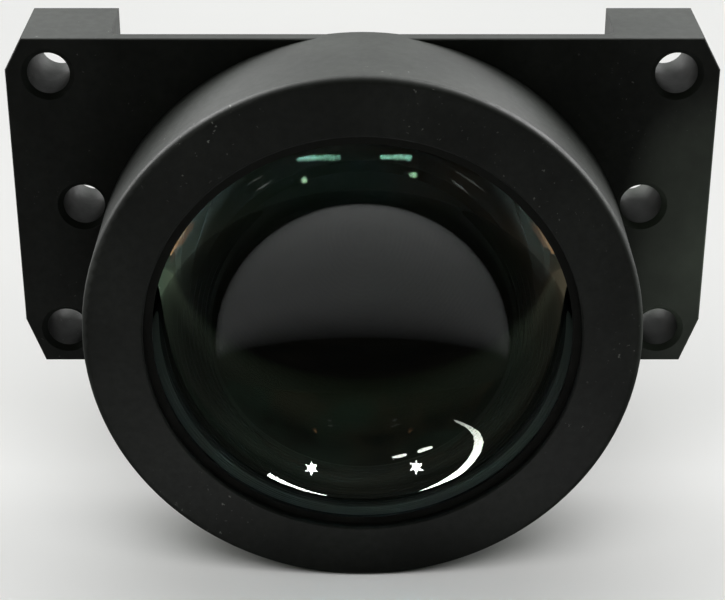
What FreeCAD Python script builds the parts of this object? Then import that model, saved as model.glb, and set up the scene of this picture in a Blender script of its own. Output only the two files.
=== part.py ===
import FreeCAD, Part
import Sketcher
import math
import os

# Condenser lens in a flange mounting, millimetres.
# Row frame: origin at the middle of the four corner holes, on the rear
# mounting face.  +Y points back, out of the mounting face, -Y is the front
# of the lens, +Z is up.  The optical axis runs along Y, axis_drop below the
# origin.  Every piece is drawn about the optical axis and then lowered.

doc = FreeCAD.newDocument("condenser_lens")

# ---------------------------------------------------------------- dimensions
sheet = doc.addObject("Spreadsheet::Sheet", "Dims")
TABLE = [
    # flange
    ("plate_width", "80.0", "flange width, along X"),
    ("plate_height", "40.5", "flange height, along Z"),
    ("web_thick", "1.5", "thickness of the thin middle of the flange"),
    ("block_depth", "11.0", "depth of the side blocks, front face to mounting face"),
    ("block_width", "11.8", "width of each side block"),
    ("corner_side", "2.0", "corner cut, measured along X"),
    ("corner_top", "3.7", "corner cut at the top, measured along Z"),
    ("corner_low", "5.5", "corner cut at the bottom, measured along Z"),
    ("root_round", "1.0", "round between web and side block"),
    ("edge_round", "0.25", "round of the flange's outer edges"),
    ("hole_dia", "4.8", "wide clearance hole for an M4 screw"),
    ("hole_bevel", "0.6", "bevel at the front end of the screw holes"),
    ("hole_bevel_rear", "0.35", "bevel at their rear end"),
    ("hole_span_wide", "70.4", "corner holes, spacing along X"),
    ("hole_span_high", "32.0", "corner holes, spacing along Z"),
    ("mid_span_wide", "64.4", "middle holes, spacing along X"),
    ("axis_drop", "10.75", "optical axis below the middle of the flange"),
    # barrel
    ("barrel_radius", "31.4", "outside radius of the barrel"),
    ("barrel_nose", "13.5", "front plane ahead of the flange face"),
    ("nose_round", "0.8", "round of the barrel's front outer edge"),
    ("tail_bevel", "0.4", "bevel of the barrel's rear outer edge"),
    ("lip_radius", "24.6", "opening of the front lip"),
    ("lip_thick", "0.8", "thickness of the front lip"),
    ("lip_bevel", "0.2", "bevel of the lip's inner edge"),
    ("bore_radius", "26.2", "bore that holds the front lens"),
    ("thread_radius", "27.0", "rear thread, major radius"),
    ("thread_length", "9.0", "length of the rear thread"),
    # front gasket
    ("gasket_inner", "23.6", "gasket inner radius"),
    ("gasket_outer", "26.1", "gasket outer radius"),
    ("gasket_thick", "0.5", "gasket thickness"),
    # front lens
    ("lens_radius", "26.0", "front lens, edge radius"),
    ("lens_clear", "23.5", "radius where the front curve starts"),
    ("lens_curve", "33.0", "front curve radius"),
    ("lens_edge", "2.6", "edge thickness"),
    ("lens_rear_clear", "24.0", "radius where the rear curve starts"),
    ("lens_rear_curve", "65.0", "rear curve radius"),
    # aperture stop
    ("stop_outer", "26.0", "stop outer radius"),
    ("stop_rim", "24.4", "inner radius of the stop's rim"),
    ("stop_hole", "14.7", "radius of the stop's opening"),
    ("stop_depth", "3.8", "stop thickness at the rim"),
    ("stop_step_a", "1.2", "first step, behind the rim's front face"),
    ("stop_step_b", "2.15", "second step"),
    ("stop_step_c", "3.0", "inner step"),
    ("stop_ring_a", "21.0", "radius of the first step"),
    ("stop_ring_b", "18.0", "radius of the second step"),
    ("stop_knife", "0.4", "land at the opening"),
    # rear cell
    ("cell_nose", "25.8", "radius of the cell's front end"),
    ("cell_nose_length", "0.5", "length of the cell's front end"),
    ("cell_thread", "26.9", "cell thread, major radius"),
    ("cell_gap", "0.3", "gap between web and collar"),
    ("collar_radius", "27.6", "collar radius"),
    ("collar_rear", "5.0", "collar's rear face ahead of the mounting face"),
    ("collar_bevel", "0.4", "collar bevel"),
    ("cell_mouth", "24.2", "inner radius at the cell's front end"),
    ("cell_throat", "21.4", "inner radius ahead of the ring thread"),
    ("ring_thread", "20.5", "thread for the rear lens ring, radius"),
    ("pocket_radius", "19.1", "pocket of the rear lens"),
    ("seat_radius", "17.0", "inner radius of the rear lens seat"),
    ("seat_plane", "9.0", "rear lens seat ahead of the mounting face"),
    ("back_wall", "2.4", "thickness of the cell's back wall"),
    ("light_hole", "1.2", "radius of the light opening"),
    ("light_flare", "1.7", "radius of the flare at the rear face"),
    ("light_land", "1.9", "land of the light opening"),
    ("wrench_slot", "3.0", "width of the collar's two spanner slots"),
    ("wrench_depth", "1.4", "depth of the spanner slots"),
    ("wrench_reach", "22.5", "radius where the spanner slots begin"),
    # rear lens
    ("back_lens_radius", "19.0", "rear lens, edge radius"),
    ("back_lens_curve", "40.0", "rear lens, front curve radius"),
    ("back_lens_edge", "1.7", "rear lens, edge thickness"),
    ("back_lens_bevel", "0.25", "rear lens, rear edge bevel"),
    # o-ring over the rear lens
    ("oring_section", "0.6", "section radius"),
    ("oring_radius", "18.28", "radius of the section's centre"),
    ("oring_plane", "11.79", "section's centre ahead of the mounting face"),
    # ring that holds the rear lens
    ("ring_outer", "20.4", "ring outer radius"),
    ("ring_inner", "16.9", "ring inner radius"),
    ("ring_rear", "12.40", "ring's rear face ahead of the mounting face"),
    ("ring_front", "14.80", "ring's front face ahead of the mounting face"),
    ("ring_bevel", "0.3", "ring bevels"),
    ("ring_slot", "2.0", "width of the ring's two spanner slots"),
    ("ring_slot_depth", "1.0", "depth of those slots"),
    # lock screw
    ("screw_radius", "1.5", "lock screw, M3"),
    ("screw_gap", "0.03", "radial gap in its thread"),
    ("screw_plane", "14.0", "lock screw ahead of the mounting face"),
    ("screw_sink", "0.6", "screw's outer end below the barrel surface"),
    ("screw_length", "3.88", "screw length"),
    ("screw_hex", "0.75", "half the width across the socket's flats"),
    ("screw_hex_depth", "1.6", "depth of the socket"),
    ("screw_bevel", "0.3", "bevel of both screw ends"),
]
for row, (alias, value, note) in enumerate(TABLE, start=1):
    sheet.set("A%d" % row, note)
    sheet.set("B%d" % row, value)
    sheet.setAlias("B%d" % row, alias)
doc.recompute()


class Size:
    """A length with its number and the sheet expression that gives it."""

    def __init__(self, number, text):
        self.number = number
        self.text = text

    def __add__(self, other):
        other = size(other)
        return Size(self.number + other.number, "(%s + %s)" % (self.text, other.text))

    def __sub__(self, other):
        other = size(other)
        return Size(self.number - other.number, "(%s - %s)" % (self.text, other.text))

    def __mul__(self, factor):
        return Size(self.number * factor, "(%s * %s)" % (self.text, factor))

    def __neg__(self):
        return Size(-self.number, "(0 mm - %s)" % self.text)


def size(value):
    if isinstance(value, Size):
        return value
    return Size(float(value), "%s mm" % value)


def dim(alias):
    return Size(float(sheet.get(alias)), "(Dims.%s * 1 mm)" % alias)


ZERO = Size(0.0, None)


def free(number):
    """A coordinate that other constraints settle."""
    return Size(number, False)


# ------------------------------------------------------------------- helpers
def new_body(label):
    body = doc.addObject("PartDesign::Body", label)
    body.Label = label
    body.Placement = FreeCAD.Placement(FreeCAD.Vector(0, 0, -dim("axis_drop").number),
                                       FreeCAD.Rotation())
    body.setExpression("Placement.Base.z", "-Dims.axis_drop * 1 mm")
    return body


def origin_plane(body, role):
    for feature in body.Origin.OriginFeatures:
        if feature.Role == role:
            return feature
    raise RuntimeError("no plane " + role)


def new_sketch(body, name, role):
    sketch = body.newObject("Sketcher::SketchObject", name)
    sketch.AttachmentSupport = [(origin_plane(body, role), "")]
    sketch.MapMode = "FlatFace"
    return sketch


def pin(sketch, geo, pos, x, y):
    """Hold one point of the sketch at x, y."""
    for kind, value, axis in (("DistanceX", x, -2), ("DistanceY", y, -1)):
        if value.text is False:
            continue
        if value.text is None:
            sketch.addConstraint(Sketcher.Constraint("PointOnObject", geo, pos, axis))
            continue
        if value.number >= 0:
            index = sketch.addConstraint(
                Sketcher.Constraint(kind, -1, 1, geo, pos, value.number))
            text = value.text
        else:
            index = sketch.addConstraint(
                Sketcher.Constraint(kind, geo, pos, -1, 1, -value.number))
            text = "0 mm - %s" % value.text
        sketch.setExpression("Constraints[%d]" % index, text)


def outline(sketch, corners):
    """Closed outline.  Each corner is (x, y) or (x, y, arc), where arc says
    how the side after it runs: (radius, "ccw" or "cw", centre on H axis)."""
    count = len(corners)
    ends = []
    for i, corner in enumerate(corners):
        a = FreeCAD.Vector(corner[0].number, corner[1].number, 0)
        following = corners[(i + 1) % count]
        b = FreeCAD.Vector(following[0].number, following[1].number, 0)
        if len(corner) == 2:
            geo = sketch.addGeometry(Part.LineSegment(a, b), False)
            ends.append((geo, 1, 2))
            continue
        radius, turn, on_axis = corner[2]
        half = (b - a) * 0.5
        rise = math.sqrt(max(radius.number ** 2 - half.Length ** 2, 0.0))
        normal = FreeCAD.Vector(-half.y, half.x, 0)
        normal.normalize()
        centre = a + half + normal * (rise if turn == "ccw" else -rise)
        if on_axis:
            centre.y = 0.0
        start, end = (a, b) if turn == "ccw" else (b, a)
        a0 = math.atan2(start.y - centre.y, start.x - centre.x)
        a1 = math.atan2(end.y - centre.y, end.x - centre.x)
        if a1 < a0:
            a1 += 2 * math.pi
        circle = Part.Circle(centre, FreeCAD.Vector(0, 0, 1), radius.number)
        geo = sketch.addGeometry(Part.ArcOfCircle(circle, a0, a1), False)
        ends.append((geo, 1, 2) if turn == "ccw" else (geo, 2, 1))
        index = sketch.addConstraint(Sketcher.Constraint("Radius", geo, radius.number))
        sketch.setExpression("Constraints[%d]" % index, radius.text)
        if on_axis:
            sketch.addConstraint(Sketcher.Constraint("PointOnObject", geo, 3, -1))
    for i in range(count):
        geo, first, last = ends[i]
        next_geo, next_first, next_last = ends[(i + 1) % count]
        sketch.addConstraint(Sketcher.Constraint("Coincident", geo, last, next_geo, next_first))
    for i, corner in enumerate(corners):
        pin(sketch, ends[i][0], ends[i][1], corner[0], corner[1])


def circle_at(sketch, x, y, radius):
    geo = sketch.addGeometry(Part.Circle(FreeCAD.Vector(x.number, y.number, 0),
                                         FreeCAD.Vector(0, 0, 1), radius.number), False)
    index = sketch.addConstraint(Sketcher.Constraint("Radius", geo, radius.number))
    sketch.setExpression("Constraints[%d]" % index, radius.text)
    pin(sketch, geo, 3, x, y)


def turn_on(body, name, corners):
    """Turned material: a profile of (Y, radius) about the optical axis."""
    sketch = new_sketch(body, name + "_profile", "YZ_Plane")
    outline(sketch, corners)
    feature = body.newObject("PartDesign::Revolution", name)
    feature.Profile = sketch
    feature.ReferenceAxis = (sketch, ["H_Axis"])
    feature.Angle = 360
    doc.recompute()
    return feature


def turn_off(body, name, corners):
    """Turned recess: the same kind of profile, taken away."""
    before = body.Shape.Volume
    sketch = new_sketch(body, name + "_profile", "YZ_Plane")
    outline(sketch, corners)
    feature = body.newObject("PartDesign::Groove", name)
    feature.Profile = sketch
    feature.ReferenceAxis = (sketch, ["H_Axis"])
    feature.Angle = 360
    doc.recompute()
    if not body.Shape.Volume < before - 0.001:
        raise RuntimeError(name + " takes nothing away")
    return feature


def cut(body, sketch, name, length, through=False):
    """A pocket from its sketch plane, turned round if it meets no material."""
    doc.recompute()
    before = body.Shape.Volume
    feature = body.newObject("PartDesign::Pocket", name)
    feature.Profile = sketch
    if through:
        feature.Type = "ThroughAll"
    else:
        feature.Length = length.number
        feature.setExpression("Length", length.text)
    doc.recompute()
    if not body.Shape.Volume < before - 0.001:
        feature.Reversed = True
        doc.recompute()
    if not body.Shape.Volume < before - 0.001:
        raise RuntimeError(name + " takes nothing away")
    return feature


def edges_where(shape, test):
    names = []
    for i, edge in enumerate(shape.Edges, start=1):
        if test(edge):
            names.append("Edge%d" % i)
    return names


# ------------------------------------------------------------- shared planes
front = -(dim("block_depth") + dim("barrel_nose"))       # front plane of the barrel
face = -dim("block_depth")                               # front face of the flange
web_back = face + dim("web_thick")                       # rear face of the web
lip_back = front + dim("lip_thick")
gasket_back = lip_back + dim("gasket_thick")
lens_back = gasket_back + dim("lens_edge")
stop_back = lens_back + dim("stop_depth")
seat = -dim("seat_plane")
half_wide = dim("plate_width") * 0.5
top = dim("axis_drop") + dim("plate_height") * 0.5
low = dim("axis_drop") - dim("plate_height") * 0.5

# ------------------------------------------------------------------- housing
# One machined piece: flange with two side blocks, and the barrel on its face.
housing = new_body("housing")

flange_outline = new_sketch(housing, "flange_outline", "XZ_Plane")
side = half_wide - dim("corner_side")
outline(flange_outline, [
    (-half_wide, low + dim("corner_low")),
    (-side, low),
    (side, low),
    (half_wide, low + dim("corner_low")),
    (half_wide, top - dim("corner_top")),
    (side, top),
    (-side, top),
    (-half_wide, top - dim("corner_top")),
])
flange = housing.newObject("PartDesign::Pad", "flange")
flange.Profile = flange_outline
flange.Length = dim("block_depth").number
flange.setExpression("Length", dim("block_depth").text)
doc.recompute()
if housing.Shape.BoundBox.YMax > 0.001:
    flange.Reversed = True
    doc.recompute()

channel_outline = new_sketch(housing, "channel_outline", "XZ_Plane")
inner = half_wide - dim("block_width")
outline(channel_outline, [
    (-inner, low - 2.0),
    (inner, low - 2.0),
    (inner, top + 2.0),
    (-inner, top + 2.0),
])
channel = cut(housing, channel_outline, "channel", dim("block_depth") - dim("web_thick"))

wb = web_back.number
inner_x = inner.number
roots = edges_where(channel.Shape, lambda e: len(e.Vertexes) == 2 and
    abs(e.Vertexes[0].X - e.Vertexes[1].X) < 1e-4 and all(
    abs(abs(v.X) - inner_x) < 1e-4 and abs(v.Y - wb) < 1e-4 for v in e.Vertexes))
if len(roots) != 2:
    raise RuntimeError("channel corners: %d" % len(roots))
channel_round = housing.newObject("PartDesign::Fillet", "channel_round")
channel_round.Base = (channel, roots)
channel_round.Radius = dim("root_round").number
channel_round.setExpression("Radius", dim("root_round").text)
doc.recompute()

fy = face.number
rims = edges_where(channel_round.Shape, lambda e: len(e.Vertexes) == 2 and (
    all(abs(v.Y - fy) < 1e-4 for v in e.Vertexes) or
    all(abs(v.Y) < 1e-4 for v in e.Vertexes)))
edge_break = housing.newObject("PartDesign::Fillet", "edge_break")
edge_break.Base = (channel_round, rims)
edge_break.Radius = dim("edge_round").number
edge_break.setExpression("Radius", dim("edge_round").text)
doc.recompute()

# The holes and their bevels end at the flange's front face: the side of the
# barrel, added next, passes just beside the middle pair.
hole_sketch = new_sketch(housing, "screw_holes_plan", "XZ_Plane")
for sx in (-1, 1):
    for sz in (-1, 1):
        circle_at(hole_sketch, dim("hole_span_wide") * (0.5 * sx),
                  dim("axis_drop") + dim("hole_span_high") * (0.5 * sz),
                  dim("hole_dia") * 0.5)
    circle_at(hole_sketch, dim("mid_span_wide") * (0.5 * sx), dim("axis_drop"),
              dim("hole_dia") * 0.5)
screw_holes = cut(housing, hole_sketch, "screw_holes", None, through=True)

hole_radius = dim("hole_dia").number / 2
base = screw_holes
for name, plane_y, alias in (("hole_bevels_front", fy, "hole_bevel"),
                             ("hole_bevels_rear", 0.0, "hole_bevel_rear")):
    mouths = edges_where(base.Shape, lambda e: isinstance(e.Curve, Part.Circle) and
                         len(e.Vertexes) == 1 and
                         abs(e.Curve.Radius - hole_radius) < 1e-4 and
                         abs(e.Curve.Center.y - plane_y) < 1e-4)
    if len(mouths) != 6:
        raise RuntimeError("%s: %d mouths" % (name, len(mouths)))
    hole_bevels = housing.newObject("PartDesign::Chamfer", name)
    hole_bevels.Base = (base, mouths)
    hole_bevels.Size = dim(alias).number
    hole_bevels.setExpression("Size", dim(alias).text)
    doc.recompute()
    base = hole_bevels

nose = dim("nose_round")
tail = dim("tail_bevel")
barrel = turn_on(housing, "barrel", [
    (front, ZERO),
    (front, dim("barrel_radius") - nose, (nose, "cw", False)),
    (front + nose, dim("barrel_radius")),
    (web_back - tail, dim("barrel_radius")),
    (web_back, dim("barrel_radius") - tail),
    (web_back, ZERO),
])

turn_off(housing, "bore", [
    (front - 1.0, ZERO),
    (front - 1.0, dim("lip_radius") + dim("lip_bevel")),
    (front, dim("lip_radius") + dim("lip_bevel")),
    (front + dim("lip_bevel"), dim("lip_radius")),
    (lip_back, dim("lip_radius")),
    (lip_back, dim("bore_radius")),
    (web_back - dim("thread_length"), dim("bore_radius")),
    (web_back - dim("thread_length"), dim("thread_radius")),
    (web_back + 1.0, dim("thread_radius")),
    (web_back + 1.0, ZERO),
])

lock_sketch = new_sketch(housing, "lock_hole_plan", "XY_Plane")
circle_at(lock_sketch, ZERO, -dim("screw_plane"), dim("screw_radius"))
doc.recompute()
volume_before = housing.Shape.Volume
lock_hole = housing.newObject("PartDesign::Pocket", "lock_hole")
lock_hole.Profile = lock_sketch
lock_hole.Length = 40.0
lock_hole.setExpression("Length", (dim("barrel_radius") + 5.0).text)
doc.recompute()
# the hole goes down from the axis, out through the underside of the barrel
low_point = [v for v in housing.Shape.Vertexes
             if abs(v.Y + dim("screw_plane").number) < 2.0 and abs(v.X) < 2.0]
if not any(v.Z < -dim("axis_drop").number for v in low_point):
    lock_hole.Reversed = True
    doc.recompute()
if not housing.Shape.Volume < volume_before - 1.0:
    raise RuntimeError("lock hole takes nothing away")

# -------------------------------------------------------------- front gasket
# Thin black ring between the front lip and the front lens.
gasket = new_body("front_gasket")
turn_on(gasket, "gasket_ring", [
    (lip_back, dim("gasket_inner")),
    (gasket_back, dim("gasket_inner")),
    (gasket_back, dim("gasket_outer")),
    (lip_back, dim("gasket_outer")),
])

# ---------------------------------------------------------------- front lens
# Thick biconvex element with a flat land around its front curve.
front_lens = new_body("front_lens")
sag = dim("lens_curve").number - math.sqrt(
    dim("lens_curve").number ** 2 - dim("lens_clear").number ** 2)
rear_sag = dim("lens_rear_curve").number - math.sqrt(
    dim("lens_rear_curve").number ** 2 - dim("lens_rear_clear").number ** 2)
turn_on(front_lens, "front_glass", [
    (free(gasket_back.number - sag), ZERO, (dim("lens_curve"), "cw", True)),
    (gasket_back, dim("lens_clear")),
    (gasket_back, dim("lens_radius")),
    (lens_back, dim("lens_radius")),
    (lens_back, dim("lens_rear_clear"), (dim("lens_rear_curve"), "cw", True)),
    (free(lens_back.number + rear_sag), ZERO),
])

# ------------------------------------------------------------- aperture stop
# Black ring behind the front lens.  Its face steps back towards the opening.
stop = new_body("aperture_stop")
step_a = lens_back + dim("stop_step_a")
step_b = lens_back + dim("stop_step_b")
step_c = lens_back + dim("stop_step_c")
turn_on(stop, "stop_ring", [
    (lens_back, dim("stop_outer")),
    (lens_back, dim("stop_rim")),
    (step_a, dim("stop_rim")),
    (step_a, dim("stop_ring_a")),
    (step_b, dim("stop_ring_a")),
    (step_b, dim("stop_ring_b")),
    (step_c, dim("stop_ring_b")),
    (step_c, dim("stop_hole")),
    (step_c + dim("stop_knife"), dim("stop_hole")),
    (stop_back, dim("stop_hole") + (stop_back - step_c - dim("stop_knife"))),
    (stop_back, dim("stop_outer")),
])

# ----------------------------------------------------------------- rear cell
# Screws into the barrel from behind, clamps the front lens, holds the rear one.
cell = new_body("rear_cell")
nose_back = stop_back + dim("cell_nose_length")
collar_front = web_back + dim("cell_gap")
collar_back = -dim("collar_rear")
cb = dim("collar_bevel")
wall_front = collar_back - dim("back_wall")
turn_on(cell, "cell_body", [
    (stop_back, dim("cell_mouth")),
    (stop_back, dim("cell_nose")),
    (nose_back, dim("cell_nose")),
    (nose_back + cb, dim("cell_thread")),
    (collar_front, dim("cell_thread")),
    (collar_front, dim("collar_radius")),
    (collar_back - cb, dim("collar_radius")),
    (collar_back, dim("collar_radius") - cb),
    (collar_back, dim("light_flare")),
    (wall_front + dim("light_land"), dim("light_hole")),
    (wall_front, dim("light_hole")),
    (wall_front, dim("seat_radius")),
    (seat, dim("seat_radius")),
    (seat, dim("pocket_radius")),
    (seat - 2.4, dim("pocket_radius")),
    (seat - 2.4, dim("ring_thread")),
    (-dim("ring_front") - 0.6, dim("ring_thread")),
    (-dim("ring_front") - 1.2, dim("cell_throat")),
])
wrench_sketch = new_sketch(cell, "wrench_slots_plan", "XZ_Plane")
ws = dim("wrench_slot") * 0.5
for s in (-1, 1):
    a = dim("wrench_reach") * s
    b = (dim("collar_radius") + 1.0) * s
    outline(wrench_sketch, [(a, -ws), (b, -ws), (b, ws), (a, ws)])
wrench_sketch.AttachmentOffset = FreeCAD.Placement(
    FreeCAD.Vector(0, 0, dim("collar_rear").number), FreeCAD.Rotation())
wrench_sketch.setExpression("AttachmentOffset.Base.z", dim("collar_rear").text)
cut(cell, wrench_sketch, "wrench_slots", dim("wrench_depth"))

# ----------------------------------------------------------------- rear lens
# Plano-convex element, curved side to the front, flat side on the seat.
rear_lens = new_body("rear_lens")
back_edge = seat - dim("back_lens_edge")
back_sag = dim("back_lens_curve").number - math.sqrt(
    dim("back_lens_curve").number ** 2 - dim("back_lens_radius").number ** 2)
bb = dim("back_lens_bevel")
turn_on(rear_lens, "rear_glass", [
    (free(back_edge.number - back_sag), ZERO, (dim("back_lens_curve"), "cw", True)),
    (back_edge, dim("back_lens_radius")),
    (seat - bb, dim("back_lens_radius")),
    (seat, dim("back_lens_radius") - bb),
    (seat, ZERO),
])

# ------------------------------------------------------------ rear lens seal
oring = new_body("rear_lens_o_ring")
oring_sketch = new_sketch(oring, "o_ring_section", "YZ_Plane")
circle_at(oring_sketch, -dim("oring_plane"), dim("oring_radius"), dim("oring_section"))
oring_turn = oring.newObject("PartDesign::Revolution", "o_ring")
oring_turn.Profile = oring_sketch
oring_turn.ReferenceAxis = (oring_sketch, ["H_Axis"])
oring_turn.Angle = 360
doc.recompute()

# ------------------------------------------------------------ rear lens ring
ring = new_body("rear_lens_ring")
rb = dim("ring_bevel")
ring_front = -dim("ring_front")
ring_rear = -dim("ring_rear")
turn_on(ring, "ring_body", [
    (ring_front, dim("ring_inner") + rb),
    (ring_front, dim("ring_outer") - rb),
    (ring_front + rb, dim("ring_outer")),
    (ring_rear - rb, dim("ring_outer")),
    (ring_rear, dim("ring_outer") - rb),
    (ring_rear, dim("ring_inner")),
    (ring_front + rb, dim("ring_inner")),
])
slot_sketch = new_sketch(ring, "ring_slots_plan", "XZ_Plane")
rs = dim("ring_slot") * 0.5
for s in (-1, 1):
    a = (dim("ring_inner") - 1.0) * s
    b = (dim("ring_outer") + 1.0) * s
    outline(slot_sketch, [(a, -rs), (b, -rs), (b, rs), (a, rs)])
slot_sketch.AttachmentOffset = FreeCAD.Placement(
    FreeCAD.Vector(0, 0, dim("ring_front").number), FreeCAD.Rotation())
slot_sketch.setExpression("AttachmentOffset.Base.z", dim("ring_front").text)
cut(ring, slot_sketch, "ring_slots", dim("ring_slot_depth"))

# ---------------------------------------------------------------- lock screw
# Headless screw under the barrel, its inner end on the cell's thread.
screw = new_body("lock_screw")
screw_sketch = new_sketch(screw, "screw_section", "YZ_Plane")
sr = dim("screw_radius") - dim("screw_gap")
outer_end = -(dim("barrel_radius") - dim("screw_sink"))
inner_end = outer_end + dim("screw_length")
sp = -dim("screw_plane")
sb = dim("screw_bevel")
outline(screw_sketch, [
    (sp, outer_end),
    (sp + (sr - sb), outer_end),
    (sp + sr, outer_end + sb),
    (sp + sr, inner_end - sb),
    (sp + (sr - sb), inner_end),
    (sp, inner_end),
])
centre_line = screw_sketch.addGeometry(Part.LineSegment(
    FreeCAD.Vector(sp.number, outer_end.number, 0),
    FreeCAD.Vector(sp.number, inner_end.number, 0)), True)
pin(screw_sketch, centre_line, 1, sp, outer_end)
pin(screw_sketch, centre_line, 2, sp, inner_end)
screw_turn = screw.newObject("PartDesign::Revolution", "screw_body")
screw_turn.Profile = screw_sketch
screw_turn.ReferenceAxis = (screw_sketch, ["Axis0"])
screw_turn.Angle = 360
doc.recompute()
hex_sketch = new_sketch(screw, "socket_plan", "XY_Plane")
flat = dim("screw_hex")
tip = flat * 1.1547005
side_tip = flat * 0.57735027
outline(hex_sketch, [
    (tip, sp), (side_tip, sp + flat), (-side_tip, sp + flat),
    (-tip, sp), (-side_tip, sp - flat), (side_tip, sp - flat),
])
hex_sketch.AttachmentOffset = FreeCAD.Placement(
    FreeCAD.Vector(0, 0, outer_end.number), FreeCAD.Rotation())
hex_sketch.setExpression("AttachmentOffset.Base.z", outer_end.text)
cut(screw, hex_sketch, "socket", dim("screw_hex_depth"))

# --------------------------------------------------------------------- check
doc.recompute()
bodies = [housing, gasket, front_lens, stop, cell, rear_lens, oring, ring, screw]
for obj in doc.Objects:
    if any(word in ("Invalid", "Error") for word in obj.State):
        raise RuntimeError("%s failed: %s" % (obj.Name, obj.State))
for sketch in doc.findObjects("Sketcher::SketchObject"):
    if sketch.solve() != 0:
        raise RuntimeError("sketch not solved: " + sketch.Name)
for body in bodies:
    shape = body.Shape
    if shape.isNull() or not shape.isValid() or len(shape.Solids) != 1:
        raise RuntimeError("bad shape: " + body.Label)

os.makedirs("parts", exist_ok=True)
for body in bodies:
    body.Shape.exportStep(os.path.join("parts", body.Label + ".step"))
    box = body.Shape.BoundBox
    print("%-18s %9.1f mm3  X %.2f..%.2f  Y %.2f..%.2f  Z %.2f..%.2f" % (
        body.Label, body.Shape.Volume, box.XMin, box.XMax, box.YMin, box.YMax,
        box.ZMin, box.ZMax))
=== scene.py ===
import bpy
import bmesh
import math
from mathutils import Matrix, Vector


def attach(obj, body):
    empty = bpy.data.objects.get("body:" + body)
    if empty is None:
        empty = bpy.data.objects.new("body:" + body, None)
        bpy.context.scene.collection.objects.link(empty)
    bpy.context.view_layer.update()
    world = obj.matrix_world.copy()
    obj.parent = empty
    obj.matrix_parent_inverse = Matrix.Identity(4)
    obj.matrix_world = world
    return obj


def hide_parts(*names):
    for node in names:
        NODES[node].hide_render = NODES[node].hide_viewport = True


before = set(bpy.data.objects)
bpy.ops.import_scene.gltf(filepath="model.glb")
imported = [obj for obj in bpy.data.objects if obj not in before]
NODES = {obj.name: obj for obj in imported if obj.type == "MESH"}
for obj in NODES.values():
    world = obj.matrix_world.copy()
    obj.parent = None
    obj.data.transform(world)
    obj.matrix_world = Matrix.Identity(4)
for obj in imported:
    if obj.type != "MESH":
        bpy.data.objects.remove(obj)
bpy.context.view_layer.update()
MM = 0.001
AXIS = -10.75          # height of the optical axis, mm
FLOOR = -42.15         # height of the floor, mm
scene = bpy.context.scene


# ------------------------------------------------------------------ mesh code
def turned(name, loops, segments):
    """Turned mesh about the optical axis.  loops is a list of bands; a band is
    (points, smooth, material index), its points (y, radius) in mm running with
    the outside of the piece on the right hand.  Bands are built without shared
    corners and then joined; an edge stays crisp where its faces turn by more than 22 degrees."""
    bm = bmesh.new()
    for points, smooth, index in loops:
        rows = []
        for y, r in points:
            if r < 1e-6:
                rows.append([bm.verts.new((0.0, y * MM, AXIS * MM))])
                continue
            row = []
            for i in range(segments):
                a = 2 * math.pi * i / segments
                row.append(bm.verts.new((r * math.cos(a) * MM, y * MM,
                                         (AXIS + r * math.sin(a)) * MM)))
            rows.append(row)
        for low, high in zip(rows, rows[1:]):
            for i in range(segments):
                j = (i + 1) % segments
                if len(low) == 1:
                    quad = (low[0], high[i], high[j])
                elif len(high) == 1:
                    quad = (low[i], high[0], low[j])
                else:
                    quad = (low[i], high[i], high[j], low[j])
                face = bm.faces.new(quad)
                face.smooth = smooth
                face.material_index = index
    # the bands meet again; edges whose faces turn by more than 22 degrees are marked sharp
    ends = set()
    for edge in bm.edges:
        if edge.is_boundary:
            ends.add(edge)
    ring = [v for v in {v for e in ends for v in e.verts}]
    bmesh.ops.remove_doubles(bm, verts=ring, dist=1e-7)
    bmesh.ops.recalc_face_normals(bm, faces=bm.faces)
    for edge in bm.edges:
        if len(edge.link_faces) == 2:
            a, b = edge.link_faces
            if a.normal.angle(b.normal, 0.0) > math.radians(22):
                edge.smooth = False
    mesh = bpy.data.meshes.new(name)
    bm.to_mesh(mesh)
    bm.free()
    obj = bpy.data.objects.new(name, mesh)
    scene.collection.objects.link(obj)
    return obj


def dome(vertex, radius, toward, r0, r1, count):
    """Points on a spherical face.  toward is +1 when the face falls back to +Y
    away from the axis, -1 when it falls to -Y."""
    points = []
    for i in range(count + 1):
        r = r0 + (r1 - r0) * i / count
        sag = radius - math.sqrt(radius * radius - r * r)
        points.append((vertex + toward * sag, r))
    return points


# ------------------------------------------------------------------ materials
def new_material(name):
    material = bpy.data.materials.new(name)
    material.use_nodes = True
    tree = material.node_tree
    for node in list(tree.nodes):
        tree.nodes.remove(node)
    out = tree.nodes.new("ShaderNodeOutputMaterial")
    shader = tree.nodes.new("ShaderNodeBsdfPrincipled")
    tree.links.new(shader.outputs["BSDF"], out.inputs["Surface"])
    return material, tree, shader


def node(tree, kind, **values):
    made = tree.nodes.new(kind)
    for key, value in values.items():
        if key in made.inputs.keys():
            made.inputs[key].default_value = value
        else:
            setattr(made, key, value)
    return made


def noise(tree, where, scale, detail=3.0, rough=0.55):
    made = tree.nodes.new("ShaderNodeTexNoise")
    made.noise_dimensions = "3D"
    made.inputs["Scale"].default_value = scale
    made.inputs["Detail"].default_value = detail
    made.inputs["Roughness"].default_value = rough
    tree.links.new(where, made.inputs["Vector"])
    return made.outputs["Fac"]


def spread(tree, value, low, high, out_low, out_high):
    made = tree.nodes.new("ShaderNodeMapRange")
    made.clamp = True
    made.inputs["From Min"].default_value = low
    made.inputs["From Max"].default_value = high
    made.inputs["To Min"].default_value = out_low
    made.inputs["To Max"].default_value = out_high
    tree.links.new(value, made.inputs["Value"])
    return made.outputs["Result"]


def sums(tree, kind, a, b):
    made = tree.nodes.new("ShaderNodeMath")
    made.operation = kind
    for socket, value in zip(made.inputs, (a, b)):
        if isinstance(value, (int, float)):
            socket.default_value = value
        else:
            tree.links.new(value, socket)
    return made.outputs["Value"]


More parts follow.
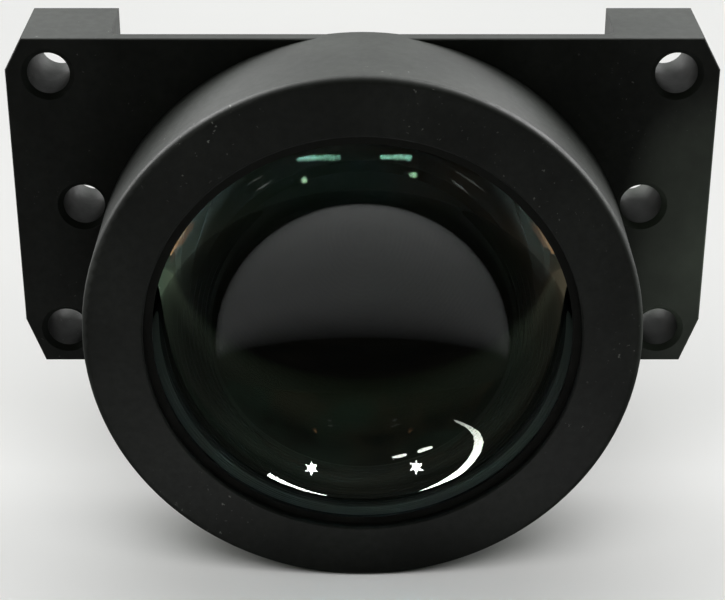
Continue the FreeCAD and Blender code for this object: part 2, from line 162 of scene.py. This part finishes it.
def blend(tree, fac, a, b):
    made = tree.nodes.new("ShaderNodeMix")
    made.data_type = "RGBA"
    made.clamp_factor = True
    tree.links.new(fac, made.inputs["Factor"])
    for socket, value in ((made.inputs["A"], a), (made.inputs["B"], b)):
        pass
    colours = [s for s in made.inputs if s.type == "RGBA"]
    for socket, value in zip(colours, (a, b)):
        if isinstance(value, tuple):
            socket.default_value = (*value, 1.0)
        else:
            tree.links.new(value, socket)
    return [s for s in made.outputs if s.type == "RGBA"][0]


def bump(tree, shader, height, distance, strength=1.0, after=None):
    made = tree.nodes.new("ShaderNodeBump")
    made.inputs["Distance"].default_value = distance
    made.inputs["Strength"].default_value = strength
    tree.links.new(height, made.inputs["Height"])
    if after is not None:
        tree.links.new(after, made.inputs["Normal"])
    tree.links.new(made.outputs["Normal"], shader.inputs["Normal"])
    return made.outputs["Normal"]


def radius_from_axis(tree, where):
    """Distance from the optical axis, in metres."""
    apart = tree.nodes.new("ShaderNodeSeparateXYZ")
    tree.links.new(where, apart.inputs["Vector"])
    z = sums(tree, "SUBTRACT", apart.outputs["Z"], AXIS * MM)
    xx = sums(tree, "MULTIPLY", apart.outputs["X"], apart.outputs["X"])
    zz = sums(tree, "MULTIPLY", z, z)
    return sums(tree, "SQRT", sums(tree, "ADD", xx, zz), 0.0), apart


def black_metal(name, dark, light, rough_low, rough_high, specular, grain, turning,
                flecks=0.0, inside=None, painted_sheen=False,
                core=False):
    """Black anodised aluminium: blasted grain, cloudy depth of colour, a little
    dust, and the fine rings that turning leaves."""
    material, tree, shader = new_material(name)
    where = node(tree, "ShaderNodeTexCoord").outputs["Object"]
    radius, apart = radius_from_axis(tree, where)
    cloud = noise(tree, where, 95.0, 4.0, 0.6)
    mottle = noise(tree, where, 900.0, 3.0, 0.6)
    colour = blend(tree, spread(tree, cloud, 0.32, 0.68, 0.0, 1.0), dark, light)
    shade = blend(tree, spread(tree, mottle, 0.35, 0.7, 0.0, 0.45), colour,
                  tuple(0.55 * c for c in dark))
    if flecks:
        speck = noise(tree, where, 2100.0, 2.0, 0.5)
        patch = noise(tree, where, 62.0, 2.0, 0.5)
        seen = sums(tree, "MULTIPLY", spread(tree, speck, 0.70, 0.76, 0.0, 1.0),
                    spread(tree, patch, 0.50, 0.66, 0.0, flecks))
        shade = blend(tree, seen, shade, (0.20, 0.21, 0.19))
    if painted_sheen:
        # painted sheen: a lighter patch low on the +X side of the flange's front face, greyer and a
        # little green
        dx = sums(tree, "DIVIDE", sums(tree, "SUBTRACT", apart.outputs["X"], 0.0385), 0.0075)
        dz = sums(tree, "DIVIDE", sums(tree, "SUBTRACT", apart.outputs["Z"], -0.006), 0.017)
        far = sums(tree, "ADD", sums(tree, "MULTIPLY", dx, dx), sums(tree, "MULTIPLY", dz, dz))
        patch = sums(tree, "MULTIPLY", spread(tree, far, 0.0, 1.6, 1.0, 0.0),
                     spread(tree, cloud, 0.25, 0.6, 0.55, 1.0))
        front = sums(tree, "MULTIPLY", spread(tree, apart.outputs["Y"], -0.0130, -0.0118, 0.2, 1.0),
                     spread(tree, apart.outputs["Y"], -0.0108, -0.0085, 1.0, 0.3))
        patch = sums(tree, "MULTIPLY", patch, front)
        shade = blend(tree, patch, shade, (0.072, 0.088, 0.068))
    if core:
        # painted shade: the steps next to the opening are the blackest
        shade = blend(tree, spread(tree, radius, 0.0196, 0.0205, 1.0, 0.0), shade,
                      tuple(0.14 * c for c in dark))
        # painted light: the outermost step, against the glass, is a lighter grey
        shade = blend(tree, spread(tree, radius, 0.0204, 0.0212, 0.0, 1.0), shade,
                      (0.19, 0.20, 0.178))
    if inside is not None:
        # everything ahead of the rear faces is made near black, with little shine
        deep = spread(tree, apart.outputs["Y"], -0.0058, -0.0054, 1.0, 0.0)
        shade = blend(tree, deep, shade, inside)
        level = spread(tree, deep, 0.0, 1.0, specular, 0.05)
        tree.links.new(level, shader.inputs["Specular IOR Level"])
    tree.links.new(shade, shader.inputs["Base Color"])
    rough = spread(tree, cloud, 0.3, 0.7, rough_low, rough_high)
    fine = spread(tree, mottle, 0.3, 0.7, -0.03, 0.03)
    tree.links.new(sums(tree, "ADD", rough, fine), shader.inputs["Roughness"])
    shader.inputs["Metallic"].default_value = 0.0
    shader.inputs["IOR"].default_value = 1.5
    shader.inputs["Specular IOR Level"].default_value = specular
    height = noise(tree, where, 5200.0, 2.0, 0.6)
    normal = bump(tree, shader, height, grain * MM, 0.6)
    if turning:
        rings = node(tree, "ShaderNodeTexWave", wave_type="BANDS", bands_direction="X")
        join = tree.nodes.new("ShaderNodeCombineXYZ")
        # across a flat face the marks run round the axis, on a side they run along it
        along = sums(tree, "ADD", radius, apart.outputs["Y"])
        tree.links.new(along, join.inputs["X"])
        tree.links.new(join.outputs["Vector"], rings.inputs["Vector"])
        rings.inputs["Scale"].default_value = 1100.0
        rings.inputs["Distortion"].default_value = 0.6
        bump(tree, shader, rings.outputs["Fac"], turning * MM, 0.5, after=normal)
    return material


def rubber(name):
    material, tree, shader = new_material(name)
    where = node(tree, "ShaderNodeTexCoord").outputs["Object"]
    cloud = noise(tree, where, 260.0, 4.0, 0.6)
    fine = noise(tree, where, 3800.0, 3.0, 0.6)
    shade = blend(tree, spread(tree, cloud, 0.3, 0.7, 0.0, 1.0),
                  (0.009, 0.009, 0.0085), (0.0145, 0.0145, 0.013))
    apart = tree.nodes.new("ShaderNodeSeparateXYZ")
    tree.links.new(where, apart.inputs["Vector"])
    # painted light: the upper arc is a little lighter, for the light that falls on it from above
    tree.links.new(blend(tree, spread(tree, apart.outputs["Z"], -0.004, 0.011, 0.0, 1.0),
                         shade, (0.013, 0.0135, 0.012)), shader.inputs["Base Color"])
    tree.links.new(spread(tree, fine, 0.3, 0.7, 0.52, 0.72), shader.inputs["Roughness"])
    shader.inputs["IOR"].default_value = 1.5
    shader.inputs["Specular IOR Level"].default_value = 0.10
    bump(tree, shader, fine, 0.02 * MM, 0.5)
    return material


def glass(name, tint, specular, colour, smear=0.0, index=1.52):
    """Polished coated glass with a trace of dust and wiping marks."""
    material, tree, shader = new_material(name)
    where = node(tree, "ShaderNodeTexCoord").outputs["Object"]
    film = noise(tree, where, 70.0, 5.0, 0.6)
    speck = noise(tree, where, 1500.0, 2.0, 0.5)
    dust = spread(tree, speck, 0.77, 0.82, 0.0, 1.0)
    tree.links.new(blend(tree, spread(tree, film, 0.3, 0.7, 0.0, 1.0), colour,
                         tuple(0.97 * c for c in colour)), shader.inputs["Base Color"])
    wiped = spread(tree, film, 0.55, 0.8, 0.0, smear)
    tree.links.new(sums(tree, "ADD", wiped, sums(tree, "MULTIPLY", dust, 2.0 * smear)),
                   shader.inputs["Roughness"])
    shader.inputs["IOR"].default_value = index
    shader.inputs["Transmission Weight"].default_value = 1.0
    shader.inputs["Specular IOR Level"].default_value = specular
    shader.inputs["Specular Tint"].default_value = (*tint, 1.0)
    return material


def ink(name):
    """Black edge paint on the ground rim of a glass."""
    material, tree, shader = new_material(name)
    where = node(tree, "ShaderNodeTexCoord").outputs["Object"]
    fine = noise(tree, where, 2600.0, 3.0, 0.6)
    tree.links.new(blend(tree, spread(tree, fine, 0.3, 0.7, 0.0, 1.0),
                         (0.020, 0.0205, 0.019), (0.032, 0.033, 0.030)),
                   shader.inputs["Base Color"])
    tree.links.new(spread(tree, fine, 0.3, 0.7, 0.6, 0.8), shader.inputs["Roughness"])
    shader.inputs["Specular IOR Level"].default_value = 0.2
    bump(tree, shader, fine, 0.01 * MM, 0.4)
    return material


def blackened_steel(name):
    material, tree, shader = new_material(name)
    where = node(tree, "ShaderNodeTexCoord").outputs["Object"]
    cloud = noise(tree, where, 700.0, 4.0, 0.6)
    tree.links.new(blend(tree, spread(tree, cloud, 0.3, 0.75, 0.0, 1.0),
                         (0.022, 0.022, 0.024), (0.06, 0.055, 0.05)),
                   shader.inputs["Base Color"])
    tree.links.new(spread(tree, cloud, 0.3, 0.7, 0.32, 0.5), shader.inputs["Roughness"])
    shader.inputs["Metallic"].default_value = 0.8
    bump(tree, shader, noise(tree, where, 4200.0, 2.0, 0.5), 0.006 * MM, 0.5)
    return material


ANODISED = black_metal("black_anodised", (0.0105, 0.0120, 0.0104), (0.0175, 0.0198, 0.0172),
                       0.50, 0.60, 0.27, 0.012, 0.0, flecks=0.7, painted_sheen=True)
TURNED = black_metal("black_anodised_turned", (0.010, 0.0105, 0.0105),
                     (0.016, 0.0165, 0.016), 0.38, 0.48, 0.3, 0.006, 0.006,
                     inside=(0.0012, 0.0012, 0.0012))
DULL = black_metal("dull_black", (0.0030, 0.0030, 0.0028), (0.0052, 0.0050, 0.0046),
                   0.40, 0.52, 0.16, 0.003, 0.003)
STOP_BLACK = black_metal("dull_black_stop", (0.080, 0.083, 0.075), (0.105, 0.108, 0.096),
                         0.45, 0.56, 0.02, 0.002, 0.0, core=True)
RUBBER = rubber("black_rubber")
INK = ink("edge_paint")
STEEL = blackened_steel("blackened_steel")
GLASS_FRONT = glass("coated_glass_front", (0.070, 0.105, 0.062), 0.5, (0.97, 0.99, 0.985), 0.004)
GLASS_REAR = glass("coated_glass_rear", (1.0, 1.0, 1.0), 0.5, (0.97, 0.985, 0.98), 0.0)
GLASS_INNER = glass("coated_glass_inner", (0.02, 0.022, 0.03), 0.5, (0.95, 0.97, 0.96), 0.0,
                    index=1.04)


def dress(name, *materials):
    data = NODES[name]
    while len(data.material_slots) < len(materials):
        data.data.materials.append(None)
    for slot, material in zip(data.material_slots, materials):
        slot.link = "OBJECT"
        slot.material = material


dress("housing", ANODISED)
dress("front_gasket", RUBBER)
dress("rear_cell", TURNED)
dress("rear_lens", GLASS_INNER)
dress("rear_lens_o_ring", RUBBER)
dress("rear_lens_ring", DULL)
dress("lock_screw", STEEL)

# ---------------------------------------------------------------- front glass
LENS_R1, LENS_R2 = 33.0, 65.0
land, rim, back = -23.2, 26.0, -20.6
front_vertex = land - (LENS_R1 - math.sqrt(LENS_R1 ** 2 - 23.5 ** 2))
rear_vertex = back + (LENS_R2 - math.sqrt(LENS_R2 ** 2 - 24.0 ** 2))
front_glass = turned("front_glass", [
    (dome(front_vertex, LENS_R1, +1, 0.0, 24.35, 124), True, 0),
    ([(front_vertex + LENS_R1 - math.sqrt(LENS_R1 ** 2 - 24.35 ** 2), 24.35),
      (land, 24.55), (land, rim)], False, 2),
    ([(land, rim), (back, rim)], True, 2),
    ([(back, rim), (back, 24.0)], True, 2),
    (list(reversed(dome(rear_vertex, LENS_R2, -1, 0.0, 24.0, 80))), True, 1),
], 384)
for material in (GLASS_FRONT, GLASS_REAR, INK):
    front_glass.data.materials.append(material)
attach(front_glass, "root")
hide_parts("front_lens")

# -------------------------------------------------------------- aperture stop
# The stepped face carries fine glare-catching ridges.
def ridged(y, r_out, r_in, depth, pitch):
    points = []
    count = max(1, round((r_out - r_in) / pitch))
    step = (r_out - r_in) / count
    for i in range(count):
        r = r_out - i * step
        points.append((y + depth, r))
        points.append((y, r - 0.5 * step))
    points.append((y + depth, r_in))
    return points


sb = -20.6
stop_profile = [(sb, 26.0), (sb, 24.4), (sb + 1.2, 24.4)]
stop_profile += ridged(sb + 1.2, 24.4, 21.0, 0.22, 0.42)
stop_profile += [(sb + 2.15, 21.0)]
stop_profile += ridged(sb + 2.15, 21.0, 18.0, 0.22, 0.42)
stop_profile += [(sb + 3.0, 18.0)]
stop_profile += ridged(sb + 3.0, 18.0, 15.2, 0.18, 0.4)
stop_profile += [(sb + 3.0, 15.1), (sb + 3.0, 14.7), (sb + 3.4, 14.7), (sb + 3.8, 15.1),
                 (sb + 3.8, 26.0), (sb, 26.0)]
clean = [stop_profile[0]]
for point in stop_profile[1:]:
    if math.dist(point, clean[-1]) > 1e-4:
        clean.append(point)
stop = turned("stop_ring", [(clean, False, 0)], 256)
stop.data.materials.append(STOP_BLACK)
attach(stop, "root")
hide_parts("aperture_stop")


# ---------------------------------------------------------------------- stage
def sheet_of(name, corners):
    mesh = bpy.data.meshes.new(name)
    mesh.from_pydata([tuple(c * MM for c in corner) for corner in corners], [],
                     [tuple(range(len(corners)))])
    obj = bpy.data.objects.new(name, mesh)
    scene.collection.objects.link(obj)
    return obj


floor = sheet_of("floor", [(-6000, -6000, FLOOR), (6000, -6000, FLOOR),
                           (6000, 6000, FLOOR), (-6000, 6000, FLOOR)])
material, tree, shader = new_material("pale_floor")
where = node(tree, "ShaderNodeTexCoord").outputs["Object"]
tree.links.new(blend(tree, spread(tree, noise(tree, where, 9.0, 3.0, 0.5), 0.3, 0.7, 0.0, 1.0),
                     (0.80, 0.80, 0.80), (0.83, 0.83, 0.825)), shader.inputs["Base Color"])
shader.inputs["Roughness"].default_value = 0.85
shader.inputs["Specular IOR Level"].default_value = 0.2
floor.data.materials.append(material)


def unseen(obj):
    """Stands outside the picture: it is only there for light and reflections."""
    obj.visible_camera = False
    obj.visible_shadow = False


# Painted shade: a dark sheet lies on the table ahead of the lens, for the table going dark there; only
# glass and satin black show it, as the line across the middle of the glass.
shade_sheet = sheet_of("painted_shade_sheet", [(-5000, -5000, FLOOR + 0.3), (5000, -5000, FLOOR + 0.3),
                                (5000, -93, FLOOR + 0.3), (-5000, -93, FLOOR + 0.3)])
material, tree, shader = new_material("painted_shade_sheet")
where = node(tree, "ShaderNodeTexCoord").outputs["Object"]
tree.links.new(blend(tree, spread(tree, noise(tree, where, 14.0, 4.0, 0.6), 0.35, 0.65, 0.0, 1.0),
                     (0.02, 0.02, 0.018), (0.07, 0.06, 0.045)), shader.inputs["Base Color"])
shader.inputs["Roughness"].default_value = 0.9
shade_sheet.data.materials.append(material)
unseen(shade_sheet)
shade_sheet.visible_diffuse = False


def only_for(obj, *receivers):
    """The light of obj falls on these objects alone."""
    group = bpy.data.collections.new(obj.name + "_lights")
    for receiver in receivers:
        group.objects.link(receiver)
    obj.light_linking.receiver_collection = group


def table_card(name, levels, colour, height):
    """The stretch of table between the lens and the dark sheet, as the glass shows it, painted
    as a glowing card: its radiance is given along Y, with the barrel's shadow painted dark
    under the barrel and the light painted dimmer toward the dark sheet."""
    first, last = levels[0][0], levels[-1][0]
    obj = sheet_of(name, [(-2500, first, FLOOR + height), (2500, first, FLOOR + height),
                          (2500, last, FLOOR + height), (-2500, last, FLOOR + height)])
    material, tree, shader = new_material(name)
    tree.nodes.remove(shader)
    where = node(tree, "ShaderNodeTexCoord").outputs["Object"]
    apart = tree.nodes.new("ShaderNodeSeparateXYZ")
    tree.links.new(where, apart.inputs["Vector"])
    total = None
    for (y0, level0), (y1, level1) in zip(levels, levels[1:]):
        step = spread(tree, apart.outputs["Y"], y0 * MM, y1 * MM, 0.0, level1 - level0)
        total = step if total is None else sums(tree, "ADD", total, step)
    strength = sums(tree, "ADD", total, levels[0][1])
    cloud = spread(tree, noise(tree, where, 34.0, 3.0, 0.5), 0.3, 0.7, 0.93, 1.05)
    light = tree.nodes.new("ShaderNodeEmission")
    light.inputs["Color"].default_value = (*colour, 1.0)
    tree.links.new(sums(tree, "MULTIPLY", strength, cloud), light.inputs["Strength"])
    tree.links.new(light.outputs["Emission"],
                   [n for n in tree.nodes if n.type == "OUTPUT_MATERIAL"][0].inputs["Surface"])
    obj.data.materials.append(material)
    unseen(obj)
    obj.visible_diffuse = False
    only_for(obj, front_glass)
    return obj


# painted shadow: both cards fall to almost nothing behind Y -30 mm, under the barrel
through = table_card("table_by_rear_face",
                     ((-93, 0.06), (-90, 0.11), (-84, 0.20), (-74, 0.38), (-64, 0.50),
                      (-50, 0.52), (-40, 0.50), (-32.5, 0.44), (-29.5, 0.03), (60, 0.01)),
                     (1.0, 1.02, 1.0), 0.3)
through.visible_glossy = False
mirror = table_card("table_by_front_face",
                    ((-93, 0.05), (-84, 0.40), (-70, 0.74), (-58, 0.50), (-47, 0.20),
                     (-38, 0.18), (-31, 0.18), (-28, 0.05), (60, 0.01)),
                    (0.86, 1.0, 0.80), 0.4)
mirror.visible_transmission = False


def softbox(name, size, place, toward, radiance, colour=(1.0, 1.0, 1.0), diffuse=1.0):
    data = bpy.data.lights.new(name, "AREA")
    data.shape = "RECTANGLE"
    data.size, data.size_y = size[0] * MM, size[1] * MM
    data.energy = radiance * math.pi * size[0] * size[1] * MM * MM
    data.color = colour
    data.diffuse_factor = diffuse
    obj = bpy.data.objects.new(name, data)
    obj.location = Vector(place) * MM
    obj.rotation_mode = "QUATERNION"
    obj.rotation_quaternion = (Vector(toward) - Vector(place)).to_track_quat("-Z", "Y")
    scene.collection.objects.link(obj)
    obj.visible_camera = False
    return obj


softbox("back_box", (1800, 820), (0, 950, 400), (0, 0, 0), 0.80)
bounce = softbox("bounce", (70, 40), (0, -56, FLOOR + 0.7), (0, -56, 200), 0.88)
only_for(bounce, NODES["housing"])
softbox("top_box", (1500, 1100), (0, 520, 1250), (0, 60, 0), 2.3)
softbox("left_box", (600, 700), (-1150, 80, 380), (0, 0, 0), 0.6)
softbox("right_box", (600, 700), (1150, 80, 380), (0, 0, 0), 0.6)
table_light = softbox("table_light", (900, 700), (0, -620, 900), (0, -20, FLOOR), 4.0)
only_for(table_light, floor)
for side, x in (("left", -820), ("right", 820)):
    sheen = softbox("sheen_" + side, (900, 900), (x, 430, 600), (0, -15, 5), 15.0, diffuse=0.0)
    only_for(sheen, NODES["housing"])


def glow(name, radiance, colour):
    material = bpy.data.materials.new(name)
    material.use_nodes = True
    tree = material.node_tree
    for made in list(tree.nodes):
        tree.nodes.remove(made)
    out = tree.nodes.new("ShaderNodeOutputMaterial")
    light = tree.nodes.new("ShaderNodeEmission")
    light.inputs["Strength"].default_value = radiance
    light.inputs["Color"].default_value = (*colour, 1.0)
    tree.links.new(light.outputs["Emission"], out.inputs["Surface"])
    return material


def at(azimuth, elevation, distance):
    """A place seen from the lens: azimuth from straight ahead, + to the right."""
    a, e = math.radians(azimuth), math.radians(elevation)
    return Vector((math.sin(a) * math.cos(e), -math.cos(a) * math.cos(e), math.sin(e))) \
        * distance + Vector((0.0, -28.0, AXIS))


def lamp(name, azimuth, elevation, radius, radiance, colour=(1.0, 1.0, 1.0)):
    centre = at(azimuth, elevation, 1000.0)
    forward = (Vector((0.0, -28.0, AXIS)) - centre).normalized()
    side = forward.cross(Vector((0, 0, 1))).normalized()
    up = side.cross(forward)
    corners = []
    for i in range(12):
        a = 2 * math.pi * i / 12
        r = radius * (1.0 if i % 2 == 0 else 0.62)
        corners.append(tuple(centre + side * (r * math.cos(a)) + up * (r * math.sin(a))))
    obj = sheet_of(name, corners)
    obj.data.materials.append(glow(name, radiance, colour))
    unseen(obj)
    return obj


for side, azimuth, elevation in (("left", -36.9, 49.6), ("right", 33.4, 52.6)):
    small = lamp("lamp_" + side, azimuth, elevation, 30.0, 150.0, (0.80, 1.0, 0.90))
    small.visible_transmission = False
    only_for(small, front_glass)


def far_card(name, corners, radiance, colour=(1.0, 1.0, 1.0)):
    """A flat light or object a metre away, its corners given as azimuth and elevation.
    It is only met by light that comes back out of the glass."""
    obj = sheet_of(name, [tuple(at(a, e, 1000.0)) for a, e in corners])
    obj.data.materials.append(glow(name, radiance, colour))
    unseen(obj)
    obj.visible_glossy = False
    only_for(obj, front_glass)
    return obj


far_card("warm_lamp_right", [(18.3, 17.2), (19.0, 17.0), (19.7, 17.15), (19.75, 17.8),
                             (19.2, 18.6), (18.4, 18.2)], 1.5, (1.0, 0.58, 0.28))
far_card("warm_shade_right", [(19.76, 17.15), (19.76, 16.5), (20.3, 16.5), (20.3, 17.3),
                              (20.0, 17.6)], 0.15, (1.0, 0.82, 0.62))
far_card("warm_lamp_left", [(-18.5, 17.0), (-19.0, 16.8), (-19.75, 16.9), (-19.85, 17.5),
                            (-19.2, 18.6), (-18.4, 18.2)], 0.95, (1.0, 0.60, 0.30))
far_card("warm_inner_right", [(18.4, 17.15), (19.0, 16.95), (19.7, 17.1), (19.95, 16.4),
                              (20.0, 15.9), (19.0, 15.6), (18.3, 16.2)], 0.55, (1.0, 0.62, 0.34))
far_card("warm_inner_left", [(-18.4, 16.95), (-19.0, 16.75), (-19.75, 16.85), (-20.1, 16.3),
                             (-20.1, 15.9), (-19.0, 15.6), (-18.3, 16.2)], 0.40,
         (1.0, 0.60, 0.34))
# two thin lines of light on each side
for name, az, el, reach in (("line_right_a", 12.45, 14.1, 0.9), ("line_right_b", 12.3, 11.55, 1.1),
                            ("line_left_a", -12.6, 13.95, 1.9), ("line_left_b", -12.3, 11.3, 1.2)):
    tilt = -0.10 * reach if az > 0 else 0.30 * reach
    far_card(name, [(az - reach, el - tilt - 0.06), (az, el - 0.22), (az + reach, el + tilt - 0.06),
                    (az + reach, el + tilt + 0.06), (az, el + 0.22),
                    (az - reach, el - tilt + 0.06)], 1.3, (0.92, 1.0, 0.90))
# the shelves glow: the light on them is painted in as emission
far_card("shelf_red", [(57.0, -9.6), (37.0, -12.2), (37.3, -16.8), (57.3, -14.5)], 0.20,
         (1.0, 0.38, 0.22))
far_card("shelf_left", [(50.5, -3.6), (34.2, -5.6), (34.1, -8.5), (50.1, -6.6)], 0.22)
far_card("shelf_right", [(-50.6, -3.1), (-39.0, -5.2), (-39.0, -8.2), (-50.1, -6.6)], 0.20)


def tube(name, a, b, width, radiance, colour=(1.0, 1.0, 1.0), height=1000.0):
    """A straight lamp under the ceiling, height above the optical axis."""
    p = Vector((a[0] * height, a[1] * height - 28.0, AXIS + height))
    q = Vector((b[0] * height, b[1] * height - 28.0, AXIS + height))
    side = (q - p).cross(Vector((0, 0, 1))).normalized() * (width / 2)
    obj = sheet_of(name, [tuple(p - side), tuple(q - side), tuple(q + side), tuple(p + side)])
    obj.data.materials.append(glow(name, radiance, colour))
    unseen(obj)
    return obj


for name, a, b in (("tube_left", (-0.515, -0.450), (-0.163, -0.498)),
                   ("tube_right", (0.126, -0.501), (0.372, -0.471))):
    made = tube(name, a, b, 42.0, 120.0, (0.50, 0.84, 1.0))
    made.visible_transmission = False
    only_for(made, front_glass)


def streak(name, line, radiance):
    """Light that pools on the table below the lens: a curved band on the floor, given as
    x, y and width.  Only the front glass shows it."""
    left, right = [], []
    for i, (x, y, w) in enumerate(line):
        a = line[max(0, i - 1)]
        b = line[min(len(line) - 1, i + 1)]
        length = math.hypot(b[0] - a[0], b[1] - a[1])
        nx, ny = (b[1] - a[1]) / length, -(b[0] - a[0]) / length
        left.append((x + nx * w / 2, y + ny * w / 2, FLOOR + 0.6))
        right.append((x - nx * w / 2, y - ny * w / 2, FLOOR + 0.6))
    mesh = bpy.data.meshes.new(name)
    points = [tuple(c * MM for c in corner) for corner in left + right]
    n = len(line)
    mesh.from_pydata(points, [], [(i, i + 1, n + i + 1, n + i) for i in range(n - 1)])
    obj = bpy.data.objects.new(name, mesh)
    scene.collection.objects.link(obj)
    obj.data.materials.append(glow(name, radiance, (1.0, 1.0, 0.96)))
    unseen(obj)
    obj.visible_transmission = False
    obj.visible_diffuse = False
    only_for(obj, front_glass)


def floor_star(name, x, y, across, down, radiance):
    """Six-pointed glare, given by where it stands and what one picture step to the right
    and one down is on the floor."""
    corners = []
    for i in range(12):
        turn = math.pi * i / 6 + math.pi / 6
        reach = 7.4 if i % 2 == 0 else 3.7
        u, v = reach * math.cos(turn), reach * math.sin(turn)
        corners.append((x + u * across[0] + v * down[0], y + u * across[1] + v * down[1],
                        FLOOR + 0.6))
    obj = sheet_of(name, [(x, y, FLOOR + 0.6)] + corners)
    obj.data.clear_geometry()
    obj.data.from_pydata([tuple(c * MM for c in corner) for corner in [(x, y, FLOOR + 0.6)] + corners],
                         [], [(0, i + 1, (i + 1) % 12 + 1) for i in range(12)])
    obj.data.materials.append(glow(name, radiance, (1.0, 1.0, 1.0)))
    unseen(obj)
    obj.visible_transmission = False
    obj.visible_diffuse = False
    only_for(obj, front_glass)


floor_star("star_left", -9.74, -32.49, (0.182, -0.091), (0.078, 0.337), 60.0)
floor_star("star_right", 10.37, -32.54, (0.182, 0.097), (-0.083, 0.337), 60.0)
streak("strip_left", [(6.34, -37.7, 0.9), (7.87, -37.69, 1.1), (9.45, -37.82, 0.9)], 45.0)
streak("strip_right", [(11.94, -37.69, 0.9), (13.65, -37.81, 1.2), (15.65, -37.87, 1.0)], 45.0)
streak("pool_left", [(-16.1, -24.7, 1.3), (-14.4, -24.4, 1.45), (-12.4, -24.2, 1.5),
                     (-10.1, -24.0, 1.6), (-8.1, -23.8, 1.6), (-5.6, -24.0, 1.3)], 24.0)

streak("pool_right", [(7.6, -23.3, 1.2), (9.9, -23.6, 1.6), (12.1, -23.8, 1.8),
                      (14.8, -24.4, 1.9), (17.5, -25.1, 2.0), (20.0, -26.3, 2.2),
                      (22.5, -28.0, 2.4), (24.8, -30.6, 2.4), (26.2, -33.9, 2.0),
                      (26.5, -38.6, 1.2), (25.3, -44.5, 0.5)], 24.0)

# ---------------------------------------------------------------------- world
# A dim room ahead of the table, seen only in the glass; pale to the camera.
world = bpy.data.worlds.new("studio")
scene.world = world
world.use_nodes = True
tree = world.node_tree
for made in list(tree.nodes):
    tree.nodes.remove(made)
out = tree.nodes.new("ShaderNodeOutputWorld")
light = tree.nodes.new("ShaderNodeBackground")
tree.links.new(light.outputs["Background"], out.inputs["Surface"])
where = node(tree, "ShaderNodeTexCoord").outputs["Generated"]
patch = noise(tree, where, 3.1, 3.0, 0.5)
hue = noise(tree, where, 1.7, 2.0, 0.5)
room = blend(tree, spread(tree, hue, 0.4, 0.6, 0.0, 1.0), (0.115, 0.086, 0.054),
             (0.050, 0.096, 0.064))
dim = blend(tree, spread(tree, patch, 0.38, 0.62, 0.0, 1.0), (0.012, 0.012, 0.010), room)
path = tree.nodes.new("ShaderNodeLightPath")
seen = blend(tree, path.outputs["Is Camera Ray"], dim, (0.80, 0.81, 0.82))
tree.links.new(seen, light.inputs["Color"])

# --------------------------------------------------------------------- camera
data = bpy.data.cameras.new("camera")
data.sensor_width = 36.0
data.lens = 1938.0 / 725.0 * 36.0
data.clip_start, data.clip_end = 0.01, 50.0
camera = bpy.data.objects.new("camera", data)
camera.location = (0.0, -0.216, 0.0905)
camera.rotation_euler = (math.radians(90.0 - 26.6), 0.0, 0.0)
scene.collection.objects.link(camera)
scene.camera = camera

scene.view_settings.view_transform = "Standard"
scene.view_settings.look = "None"
